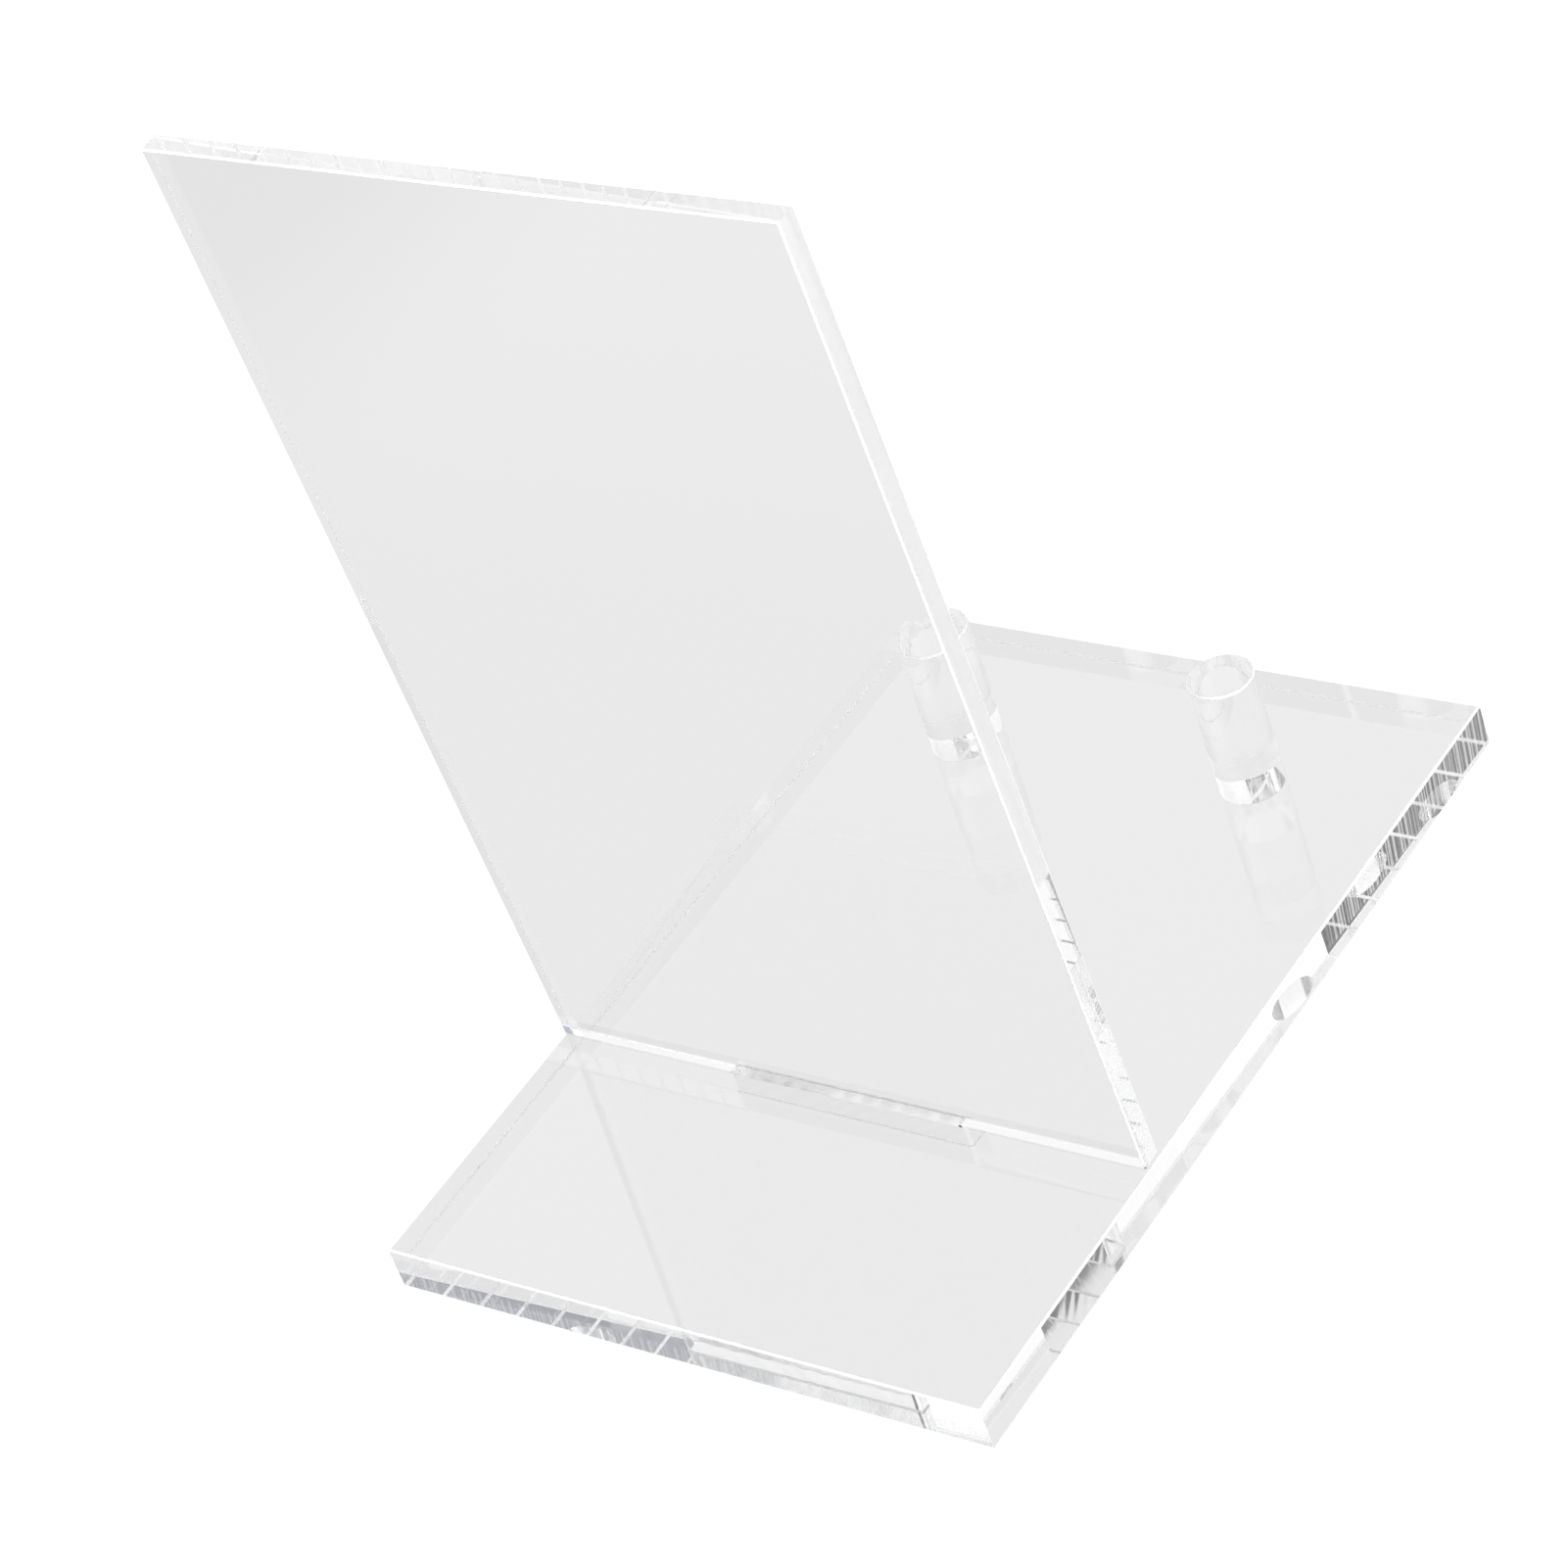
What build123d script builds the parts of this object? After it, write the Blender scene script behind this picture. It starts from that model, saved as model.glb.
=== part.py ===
"""Book stand in clear acrylic: a base plate, a back panel tabbed into it and two pegs that stop the book.

The origin is on the table under the middle of the base. +Z is up, the pegs are at the front (-Y) and the
panel leans back towards the rear (+Y). All sizes are in millimetres.
"""
from build123d import *
import math
import os

# Base plate, cut from thick sheet
base_width = 140.0
base_depth = 200.0
base_thickness = 10.3
base_edge_break = 0.4

# Back panel, cut from thinner sheet, with a tab at the middle of its lower edge
panel_narrower = 1.0
panel_height = 224.0
panel_thickness = 5.0
panel_edge_break = 0.3

# The tab stops short of the table, and its slot is a loose fit that lets the panel lean back
tab_width = 55.0
tab_above_table = 0.4
slot_from_rear = 65.8
slot_play = 0.48
slot_end_play = 0.8
slot_corner_radius = 0.8
slot_edge_break = 0.2
touch_gap = 0.02

# Pegs, cut from round rod and welded to the top of the base
peg_diameter = 14.0
peg_height = 28.0
peg_edge_break = 0.4
peg_spacing = 69.0
peg_from_front = 32.4

# The panel is a little narrower than the base and stands flush with it on the right
panel_width = base_width - panel_narrower
panel_side_shift = panel_narrower / 2

# Places and sizes that follow from the ones above
slot_width = panel_thickness + slot_play
slot_length = tab_width + 2 * slot_end_play
slot_y = base_depth / 2 - slot_from_rear
peg_y = peg_from_front - base_depth / 2
tab_length = base_thickness - tab_above_table

# The panel leans until its tab touches the slot's rear wall at the top and its front wall at the bottom:
# tab_length * sin(lean) + panel_thickness * cos(lean) fills the slot, less the gap at each wall
lean_reach = slot_width - 2 * touch_gap
panel_lean = math.asin(lean_reach / math.hypot(tab_length, panel_thickness))
panel_lean -= math.atan2(panel_thickness, tab_length)

# Plane of the panel's rear face: its origin is where that face meets the base, and its Y runs up the panel
panel_rear = Plane(
    origin=(panel_side_shift, slot_y + slot_width / 2 - touch_gap, base_thickness),
    x_dir=(-1, 0, 0),
    z_dir=(0, math.cos(panel_lean), -math.sin(panel_lean)),
)

os.makedirs("parts", exist_ok=True)

# Base plate: a sawn rectangle with its long outer edges broken, and the slot milled right through it. The
# cutter leaves the slot's corners round, and the slot's rims are broken on both faces
with BuildPart() as base_plate:
    with BuildSketch(Plane.XY):
        Rectangle(base_width, base_depth)
    extrude(amount=base_thickness)
    base_faces = base_plate.faces().sort_by(Axis.Z)
    chamfer([base_faces[0].edges(), base_faces[-1].edges()], base_edge_break)
    with BuildSketch(Plane.XY):
        with Locations((0, slot_y)):
            RectangleRounded(slot_length, slot_width, slot_corner_radius)
    extrude(amount=base_thickness, mode=Mode.SUBTRACT)
    slotted_faces = base_plate.faces().sort_by(Axis.Z)
    slot_rims = [face.inner_wires()[0].edges() for face in (slotted_faces[0], slotted_faces[-1])]
    chamfer(slot_rims, slot_edge_break)
base_plate.part.label = "base_plate"
export_step(base_plate.part, "parts/base_plate.step")

# Back panel: one flat blank with its tab, drawn on the rear face and thickened towards the front
with BuildPart() as back_panel:
    with BuildSketch(panel_rear):
        Rectangle(panel_width, panel_height, align=(Align.CENTER, Align.MIN))
        Rectangle(tab_width, tab_length, align=(Align.CENTER, Align.MAX))
    extrude(amount=-panel_thickness)
    panel_faces = back_panel.faces().sort_by(SortBy.AREA)[-2:]
    chamfer([face.edges() for face in panel_faces], panel_edge_break)
back_panel.part.label = "back_panel"
export_step(back_panel.part, "parts/back_panel.step")

# Pegs: two equal lengths of rod, with the rim of the free end broken
for peg_name, peg_x in (("left_peg", -peg_spacing / 2), ("right_peg", peg_spacing / 2)):
    with BuildPart() as peg:
        with BuildSketch(Plane.XY.offset(base_thickness)):
            with Locations((peg_x, peg_y)):
                Circle(peg_diameter / 2)
        extrude(amount=peg_height)
        chamfer(peg.faces().sort_by(Axis.Z)[-1].edges(), peg_edge_break)
    peg.part.label = peg_name
    export_step(peg.part, f"parts/{peg_name}.step")

print("panel lean in degrees", round(math.degrees(panel_lean), 3))
print("lift direction", round(math.sin(panel_lean), 6), round(math.cos(panel_lean), 6))
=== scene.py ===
"""Looks for the clear acrylic book stand: cast sheet, sawn edges and turned rod on a pale studio table.

Every length is in metres in the frame of the solids: +Z up, the pegs at the front (-Y), the panel towards
the rear (+Y), and -X on the left as seen from the front.
"""
import math

import bmesh
import bpy
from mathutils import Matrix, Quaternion, Vector


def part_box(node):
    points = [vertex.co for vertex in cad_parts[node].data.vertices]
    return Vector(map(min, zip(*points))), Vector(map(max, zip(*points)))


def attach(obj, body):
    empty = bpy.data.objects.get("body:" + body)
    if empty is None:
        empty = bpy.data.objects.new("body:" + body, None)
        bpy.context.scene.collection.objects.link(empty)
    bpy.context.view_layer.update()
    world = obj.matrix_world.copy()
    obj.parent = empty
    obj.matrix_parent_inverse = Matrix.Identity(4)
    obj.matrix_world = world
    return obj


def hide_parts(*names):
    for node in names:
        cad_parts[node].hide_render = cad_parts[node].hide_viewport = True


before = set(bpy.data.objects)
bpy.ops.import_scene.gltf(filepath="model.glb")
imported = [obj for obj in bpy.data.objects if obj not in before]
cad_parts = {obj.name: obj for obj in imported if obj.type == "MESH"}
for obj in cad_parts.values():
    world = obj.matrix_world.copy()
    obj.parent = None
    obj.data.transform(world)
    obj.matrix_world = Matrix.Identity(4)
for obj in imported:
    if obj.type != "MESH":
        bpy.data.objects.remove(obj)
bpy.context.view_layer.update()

MM = 0.001
scene = bpy.context.scene


# Shader maths


class Wire:
    """A socket that Python's operators work on, each adding one Math node."""

    def __init__(self, sheet, socket):
        self.sheet = sheet
        self.socket = socket

    def math(self, operation, *others):
        return self.sheet.add("ShaderNodeMath", {"operation": operation}, [self, *others])

    def __add__(self, other):
        return self.math("ADD", other)

    def __radd__(self, other):
        return self.math("ADD", other)

    def __sub__(self, other):
        return self.math("SUBTRACT", other)

    def __rsub__(self, other):
        return self.sheet.add("ShaderNodeMath", {"operation": "SUBTRACT"}, [other, self])

    def __mul__(self, other):
        return self.math("MULTIPLY", other)

    def __rmul__(self, other):
        return self.math("MULTIPLY", other)

    def __truediv__(self, other):
        return self.math("DIVIDE", other)

    def __gt__(self, other):
        return self.math("GREATER_THAN", other)

    def __lt__(self, other):
        return self.math("LESS_THAN", other)

    def __abs__(self):
        return self.math("ABSOLUTE")

    def at_least(self, other):
        return self.math("MAXIMUM", other)

    def at_most(self, other):
        return self.math("MINIMUM", other)

    def smooth(self, low, high):
        """0 below low, 1 above high and an even curve between."""
        return self.sheet.add(
            "ShaderNodeMapRange", {"interpolation_type": "SMOOTHSTEP"}, [self, low, high, 0.0, 1.0]
        )


class Sheet:
    """The nodes of one material or of the world."""

    def __init__(self, tree):
        self.tree = tree
        tree.nodes.clear()

    def add(self, kind, settings=None, inputs=(), out=0):
        """A new node, with its settings made before its sockets.

        A list gives its sockets by place and a dict by name. What comes back is the output at the place or
        under the name in out, or a list of outputs where out is a tuple of names.
        """
        node = self.tree.nodes.new(kind)
        for name, value in (settings or {}).items():
            setattr(node, name, value)
        pairs = inputs.items() if isinstance(inputs, dict) else enumerate(inputs)
        for key, value in pairs:
            socket = node.inputs[key]
            if isinstance(value, Wire):
                self.tree.links.new(value.socket, socket)
            elif value is not None:
                socket.default_value = value
        if isinstance(out, tuple):
            return [Wire(self, node.outputs[name]) for name in out]
        return Wire(self, node.outputs[out]) if node.outputs else None

    def place(self):
        """The X, Y and Z of a point of the piece, in metres."""
        point = self.add("ShaderNodeTexCoord", out="Object")
        return self.add("ShaderNodeSeparateXYZ", inputs=[point], out=("X", "Y", "Z"))


def new_sheet(name):
    material = bpy.data.materials.new(name)
    material.use_nodes = True
    return material, Sheet(material.node_tree)


def into_scene(name, data):
    """A new object at the origin with this mesh, lamp or camera."""
    thing = bpy.data.objects.new(name, data)
    scene.collection.objects.link(thing)
    return thing


# Sizes of the solids

BASE_HALF_WIDTH, BASE_HALF_DEPTH, BASE_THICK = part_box("base_plate")[1]

SLOT_HALF_LENGTH = 28.3 * MM
SLOT_HALF_WIDTH = 2.74 * MM
SLOT_Y = 34.2 * MM
SLOT_BREAK = 0.2 * MM
TOUCH_GAP = 0.02 * MM

PANEL_THICK = 5.0 * MM
PANEL_HEIGHT = 224.0 * MM
PANEL_LEFT = -69.0 * MM
PANEL_LEAN = math.radians(2.577)
PANEL_TOP = BASE_THICK + PANEL_HEIGHT * math.cos(PANEL_LEAN)
PANEL_REAR_Y = SLOT_Y + SLOT_HALF_WIDTH - TOUCH_GAP

PEG_X = 34.5 * MM
PEG_Y = -67.6 * MM
PEG_RADIUS = 7.0 * MM
PEG_BREAK = 0.4 * MM
PEG_FOOT = BASE_THICK
PEG_TOP = PEG_FOOT + 28.0 * MM

# A point this near a face counts as on it
ON_FACE = 0.02 * MM

# How far in from the two faces of a sheet its cut edges are scraped white
BASE_SCRAPED = 0.55 * MM
SLOT_SCRAPED = 0.4 * MM
PANEL_SCRAPED = 0.5 * MM

# How white each finish is, from 0 for clear to 1 for white all over
SCRAPED_WHITE = 0.95
REAR_LINES_WHITE = 0.3
FRONT_LINES_WHITE = 0.58
SLOT_LINES_WHITE = 0.06
TOP_WHITE = 0.16
TOP_CLOUDS_WHITE = 0.12
SIDE_WHITE = 0.45
SIDE_LINES_WHITE = 0.4
RIM_WHITE = 0.9
# Painted light: a white band round the foot of each rod
FOOT_PAINTED_LIGHT_WHITE = 0.4

# Where the white saw lines and the painted light round the rods' feet fade, each from one place to another
REAR_LINES_END_Z = (3.6 * MM, 5.4 * MM)
FRONT_LINES_END_Y = (-38.0 * MM, -30.0 * MM)
SLOT_LINES_START_Y = (48.0 * MM, 54.0 * MM)
SLOT_LINES_END_Y = (76.0 * MM, 80.0 * MM)
SLOT_LINES_START_Z = (3.0 * MM, 5.0 * MM)
SIDE_LINES_END_Z = (50.0 * MM, 65.0 * MM)
FOOT_PAINTED_LIGHT_END_Z = (PEG_FOOT + 2.0 * MM, PEG_FOOT + 9.0 * MM)

# From one tool mark to the next, and how high the marks are that bend light
SAW_PITCH = 0.9 * MM
CHATTER_PITCH = 3.6 * MM
CLOUD_PITCH = 9.0 * MM
RING_PITCH = 0.5 * MM
CUTTER_LINE_HEIGHT = 0.003 * MM
CHATTER_HEIGHT = 0.14 * MM
RING_HEIGHT = 0.004 * MM
SLOT_ROUGHNESS = 0.15

# Acrylic lets nearly all light through, and where it is scraped it is white like chalk
ACRYLIC_IOR = 1.49
CLEAR = (0.995, 0.995, 0.995, 1.0)
CHALK = (0.97, 0.97, 0.97, 1.0)


# Camera, behind the stand and to its left, tilted to one side

EYE = Vector((-558.363, 565.954, 660.001)) * MM
AIM = Vector((66.698, -42.427, 10.3)) * MM
TILT = math.radians(-20.6233)

camera_data = bpy.data.cameras.new("camera")
camera_data.sensor_width = 36.0
camera_data.lens = 118.742
camera_data.clip_start = 0.05
camera_data.clip_end = 50.0
camera = into_scene("camera", camera_data)
camera.location = EYE
camera.rotation_mode = "QUATERNION"
camera.rotation_quaternion = (AIM - EYE).to_track_quat("-Z", "Y") @ Quaternion((0, 0, 1), TILT)
scene.camera = camera


# Acrylic


def acrylic(name, milky, marks=None, satin=None, welded=None):
    """Clear cast acrylic.

    Each of the others is a function of the sheet: milky gives how white a point is, marks the height of tool
    marks in metres, satin the roughness, and welded is 1 where a weld leaves no surface.
    """
    material, sheet = new_sheet(name)
    normal = None
    if marks:
        relief = {"Strength": 1.0, "Distance": 1.0, "Height": marks(sheet)}
        normal = sheet.add("ShaderNodeBump", inputs=relief)
    clear = sheet.add(
        "ShaderNodeBsdfPrincipled",
        inputs={
            "Base Color": CLEAR,
            "Roughness": satin(sheet) if satin else 0.0,
            "IOR": ACRYLIC_IOR,
            "Transmission Weight": 1.0,
            "Normal": normal,
        },
    )
    chalk = sheet.add(
        "ShaderNodeBsdfPrincipled",
        inputs={"Base Color": CHALK, "Roughness": 0.6, "Specular IOR Level": 0.0},
    )
    glow = sheet.add("ShaderNodeBsdfTranslucent", inputs={"Color": CHALK})
    frost = sheet.add("ShaderNodeMixShader", inputs=[0.5, chalk, glow])
    surface = sheet.add("ShaderNodeMixShader", inputs=[milky(sheet), clear, frost])
    if welded:
        gone = sheet.add("ShaderNodeBsdfTransparent")
        surface = sheet.add("ShaderNodeMixShader", inputs=[welded(sheet), surface, gone])
    sheet.add("ShaderNodeOutputMaterial", inputs={"Surface": surface})
    return material


def streaks(sheet, place, pitch, detail=2.0):
    """Uneven lines from 0 to 1, about one every pitch, across the direction in which place grows."""
    return sheet.add(
        "ShaderNodeTexNoise",
        {"noise_dimensions": "1D"},
        {"W": place * (1 / pitch), "Scale": 1.0, "Detail": detail, "Roughness": 0.55},
    )


# Base: sawn sides with scraped edges, and a milled slot


def base_depth_in(sheet):
    """How far a point is from the nearer of the base's two faces."""
    x, y, z = sheet.place()
    return z.at_most(BASE_THICK - z)


def in_the_slot(sheet):
    """1 on the slot's walls and broken rims."""
    x, y, z = sheet.place()
    margin = SLOT_BREAK + 0.1 * MM
    return (abs(x) < SLOT_HALF_LENGTH + margin) * (abs(y - SLOT_Y) < SLOT_HALF_WIDTH + margin)


def slot_marks(sheet):
    """The cutter's lines along the slot's walls, and its chatter in waves across them."""
    x, y, z = sheet.place()
    chatter_slant = 0.9
    lines = streaks(sheet, z, SAW_PITCH) * CUTTER_LINE_HEIGHT
    chatter = streaks(sheet, x + z * chatter_slant, CHATTER_PITCH, 0.0) * CHATTER_HEIGHT
    return in_the_slot(sheet) * (base_depth_in(sheet) > ON_FACE) * (lines + chatter)


def slot_satin(sheet):
    """The milled walls of the slot are a little dull."""
    return in_the_slot(sheet) * (base_depth_in(sheet) > ON_FACE) * SLOT_ROUGHNESS


def base_lines_white(sheet):
    """How white the saw's lines are at a point of the base.

    They show on the lower half of the rear side, and on the left side near the front and behind the slot.
    """
    x, y, z = sheet.place()
    on_rear = (y > BASE_HALF_DEPTH - ON_FACE) * (1 - z.smooth(*REAR_LINES_END_Z))
    on_left = x < ON_FACE - BASE_HALF_WIDTH
    foot_at_front = 0.4 * MM
    foot_slope = 0.055
    foot_fade = 0.6 * MM
    above_foot = z - (foot_at_front + (y + BASE_HALF_DEPTH) * foot_slope)
    front = (1 - y.smooth(*FRONT_LINES_END_Y)) * above_foot.smooth(0, foot_fade)
    behind_slot = y.smooth(*SLOT_LINES_START_Y) * (1 - y.smooth(*SLOT_LINES_END_Y))
    behind_slot = behind_slot * z.smooth(*SLOT_LINES_START_Z)
    left = on_left * (front * FRONT_LINES_WHITE + behind_slot * SLOT_LINES_WHITE)
    return (on_rear * REAR_LINES_WHITE).at_least(left)


def base_milky(sheet):
    """White scraped edges, and white saw lines that lean a little across the sides."""
    x, y, z = sheet.place()
    depth = base_depth_in(sheet)
    slot = in_the_slot(sheet)
    scraped = (depth < BASE_SCRAPED) * (1 - slot) + (depth < SLOT_SCRAPED) * slot
    saw_slant = 0.12
    lines = streaks(sheet, x + y + z * saw_slant, SAW_PITCH).smooth(0.46, 0.56)
    lines = lines * base_lines_white(sheet)
    return (depth > ON_FACE) * (scraped * SCRAPED_WHITE).at_least(lines)


def from_peg_axis(sheet):
    """How far a point is from the axis of the nearer peg."""
    x, y, z = sheet.place()
    across = abs(x) - PEG_X
    along = y - PEG_Y
    return (across * across + along * along).math("SQRT")


def under_the_pegs(sheet):
    """1 on the base's top face where a peg stands."""
    x, y, z = sheet.place()
    return (from_peg_axis(sheet) < PEG_RADIUS) * (z > BASE_THICK - ON_FACE)


# Panel: scraped edges, a cloudy top edge and a sawn left edge


def panel_depth_in(sheet):
    """How far a point is from the nearer of the panel's two faces."""
    x, y, z = sheet.place()
    depth = (PANEL_REAR_Y - y) * math.cos(PANEL_LEAN) + (z - BASE_THICK) * math.sin(PANEL_LEAN)
    return depth.at_most(PANEL_THICK - depth)


def panel_milky(sheet):
    """White scraped edges above the base, a cloudy top edge, and saw lines low on the left edge."""
    x, y, z = sheet.place()
    depth = panel_depth_in(sheet)
    clear_foot = 0.5 * MM
    scraped = (depth < PANEL_SCRAPED) * (z > BASE_THICK + clear_foot)
    top_reach = 1.0 * MM
    clouds = TOP_WHITE + TOP_CLOUDS_WHITE * streaks(sheet, x, CLOUD_PITCH, 1.0)
    top = (z > PANEL_TOP - top_reach) * clouds
    saw_slant = 0.3
    lines = streaks(sheet, z + y * saw_slant, SAW_PITCH).smooth(0.4, 0.6)
    low = 1 - z.smooth(*SIDE_LINES_END_Z)
    left = (x < PANEL_LEFT + ON_FACE) * (SIDE_WHITE + low * SIDE_LINES_WHITE * lines)
    return (depth > ON_FACE) * (scraped * SCRAPED_WHITE).at_least(top.at_least(left))


# Pegs: a scraped rim and fine rings at the free end, and painted light round the welded foot


def peg_foot(sheet):
    """1 on the face that is welded to the base."""
    x, y, z = sheet.place()
    return z < PEG_FOOT + ON_FACE


def peg_marks(sheet):
    """Faint rings from turning the free end."""
    x, y, z = sheet.place()
    return (z > PEG_TOP - ON_FACE) * streaks(sheet, from_peg_axis(sheet), RING_PITCH) * RING_HEIGHT


def peg_milky_and_painted_light(sheet):
    """The scraped rim of the free end, and a white band of painted light round the foot that fades upwards.
    """
    x, y, z = sheet.place()
    rim = (z > PEG_TOP - PEG_BREAK + ON_FACE) * (z < PEG_TOP - ON_FACE)
    # Painted light: white round the foot, fading out upwards
    foot_painted_light = (1 - z.smooth(*FOOT_PAINTED_LIGHT_END_Z)) * (z > PEG_FOOT + ON_FACE)
    return (rim * RIM_WHITE).at_least(foot_painted_light * FOOT_PAINTED_LIGHT_WHITE)


base_acrylic = acrylic("base_acrylic", base_milky, slot_marks, slot_satin, under_the_pegs)
panel_acrylic = acrylic("panel_acrylic", panel_milky)
rod_acrylic = acrylic("rod_acrylic", peg_milky_and_painted_light, peg_marks, welded=peg_foot)
for name, finish in (("base_plate", base_acrylic), ("back_panel", panel_acrylic)):
    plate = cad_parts[name]
    if not plate.material_slots:
        plate.data.materials.append(finish)
    plate.material_slots[0].material = finish


# Rods in place of the pegs, rounder than the solids

ROD_STEPS = 240
SHARP_ANGLE = math.radians(20)


def turned_rod(name, x):
    """A round rod with a broken rim at its free end, turned about its own axis."""
    profile = (
        (0.0, PEG_FOOT),
        (PEG_RADIUS, PEG_FOOT),
        (PEG_RADIUS, PEG_TOP - PEG_BREAK),
        (PEG_RADIUS - PEG_BREAK, PEG_TOP),
        (0.0, PEG_TOP),
    )
    shape = bmesh.new()
    points = [shape.verts.new((radius, 0.0, height)) for radius, height in profile]
    lines = [shape.edges.new(pair) for pair in zip(points, points[1:])]
    bmesh.ops.spin(
        shape,
        geom=points + lines,
        cent=(0, 0, 0),
        axis=(0, 0, 1),
        angle=math.tau,
        steps=ROD_STEPS,
        use_merge=True,
    )
    bmesh.ops.remove_doubles(shape, verts=shape.verts, dist=0.001 * MM)
    bmesh.ops.recalc_face_normals(shape, faces=shape.faces)
    bmesh.ops.translate(shape, vec=(x, PEG_Y, 0), verts=shape.verts)
    for face in shape.faces:
        face.smooth = True
    for edge in shape.edges:
        edge.smooth = edge.calc_face_angle(0.0) < SHARP_ANGLE
    mesh = bpy.data.meshes.new(name)
    shape.to_mesh(mesh)
    shape.free()
    mesh.materials.append(rod_acrylic)
    return into_scene(name, mesh)


for side, x in (("left", -PEG_X), ("right", PEG_X)):
    rod = turned_rod(side + "_rod", x)
    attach(rod, "base")
    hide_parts(side + "_peg")


# Table. It has one level to the camera, one through or off the clear pieces and one to white surfaces. The
# level through or off the clear pieces is painted lighter towards the rear, with painted shade in the rear
# right corner

TABLE_HALF_SIZE = 6.0
TABLE_DROP = 0.1 * MM
TABLE_SEEN = 1.06
TABLE_THROUGH_ACRYLIC = 0.82
TABLE_REAR_PAINTED_LIGHT = 0.2
TABLE_CORNER_PAINTED_SHADE = 0.5
TABLE_SHADOW_SHARE = 0.15

floor_mesh = bpy.data.meshes.new("floor")
shape = bmesh.new()
bmesh.ops.create_grid(shape, x_segments=1, y_segments=1, size=TABLE_HALF_SIZE)
bmesh.ops.translate(shape, vec=(0, 0, -TABLE_DROP), verts=shape.verts)
shape.to_mesh(floor_mesh)
shape.free()
floor = into_scene("floor", floor_mesh)

floor_paint, sheet = new_sheet("floor_paint")
x, y, z = sheet.place()
ray_kinds = ("Is Camera Ray", "Is Transmission Ray", "Is Glossy Ray", "Is Diffuse Ray")
by_camera, by_glass, by_gloss, by_matt = sheet.add("ShaderNodeLightPath", out=ray_kinds)
by_clear = by_glass.at_least(by_gloss) > by_matt
# Painted light and shade on the table as seen through the acrylic: lighter towards the rear, darker in the
# rear right corner
rear = y.smooth(0.15, 0.28)
right = x.smooth(0.22, 0.34)
through = TABLE_THROUGH_ACRYLIC + rear * TABLE_REAR_PAINTED_LIGHT - rear * right * TABLE_CORNER_PAINTED_SHADE
level = by_camera * TABLE_SEEN + by_clear * through + by_matt
lit = sheet.add("ShaderNodeBsdfDiffuse", inputs={"Color": (0.8, 0.8, 0.8, 1.0)})
shown = sheet.add("ShaderNodeEmission", inputs={"Color": (1.0, 1.0, 1.0, 1.0), "Strength": level})
table = sheet.add("ShaderNodeMixShader", inputs=[1 - by_camera * TABLE_SHADOW_SHARE, lit, shown])
sheet.add("ShaderNodeOutputMaterial", inputs={"Surface": table})
floor_mesh.materials.append(floor_paint)


# Lamps, both pointed at the origin. Only the softbox is seen in and through the acrylic

LAMP_LENGTH = 1.4
LAMP_WIDTH = 1.0
LAMPS = (("softbox", (0.3, -0.3, 1.6), 8.0), ("fill_light", (-0.9, 0.9, 1.3), 20.0))

for name, place, watts in LAMPS:
    lamp_data = bpy.data.lights.new(name, "AREA")
    lamp_data.shape = "RECTANGLE"
    lamp_data.size = LAMP_LENGTH
    lamp_data.size_y = LAMP_WIDTH
    lamp_data.energy = watts
    lamp = into_scene(name, lamp_data)
    lamp.location = place
    lamp.rotation_mode = "QUATERNION"
    lamp.rotation_quaternion = (-lamp.location).to_track_quat("-Z", "Y")
    lamp.visible_glossy = name == "softbox"
    lamp.visible_transmission = name == "softbox"


# Room round the table: dim, with a white backdrop in front of the camera and light behind and above it.
# Each part of it fades in between two numbers, which are cosines of the angle from the part's middle, or
# for table and overhead heights from 0 level with the table to 1 straight above it

ROOM_DIM = 0.1
BACKDROP_LIFT = 0.95
CAMERA_SIDE_LIFT = 1.5
OVERHEAD_LEVEL = 1.5
LEFT_TINT = (0.26, 0.27, 0.31)

world = bpy.data.worlds.new("studio")
scene.world = world
world.use_nodes = True
sheet = Sheet(world.node_tree)
direction = sheet.add("ShaderNodeTexCoord", out="Generated")
east, north, up = sheet.add("ShaderNodeSeparateXYZ", inputs=[direction], out=("X", "Y", "Z"))
level_part = (east * east + north * north).math("SQRT")
east = east / level_part
north = north / level_part
ahead = (east - north) * math.sqrt(0.5)
to_front_left = (0 - east - north) * math.sqrt(0.5)
backdrop = ahead.smooth(0.3, 0.7)
camera_side = (0 - ahead).smooth(0.1, 0.5)
left_wall = to_front_left.smooth(0.3, 0.7)
below = 1 - up.smooth(0.3, 0.45)
overhead = up.smooth(0.70, 0.77)
room = ROOM_DIM + BACKDROP_LIFT * backdrop + CAMERA_SIDE_LIFT * camera_side
room = room.at_least(below * TABLE_THROUGH_ACRYLIC).at_least(overhead * OVERHEAD_LEVEL)
colour = sheet.add("ShaderNodeCombineColor", inputs=[room + left_wall * share for share in LEFT_TINT])
by_camera = sheet.add("ShaderNodeLightPath", out="Is Camera Ray")
around = sheet.add("ShaderNodeBackground", inputs={"Color": colour, "Strength": 1.0})
plain = sheet.add("ShaderNodeBackground", inputs={"Color": (1.0, 1.0, 1.0, 1.0), "Strength": 1.0})
sky = sheet.add("ShaderNodeMixShader", inputs=[by_camera, around, plain])
sheet.add("ShaderNodeOutputWorld", inputs={"Surface": sky})


# Light paths long enough for the reflections inside the edges

cycles = scene.cycles
cycles.max_bounces = 48
cycles.glossy_bounces = 40
cycles.transmission_bounces = 40
cycles.transparent_max_bounces = 24
cycles.diffuse_bounces = 3

scene.view_settings.view_transform = "Standard"
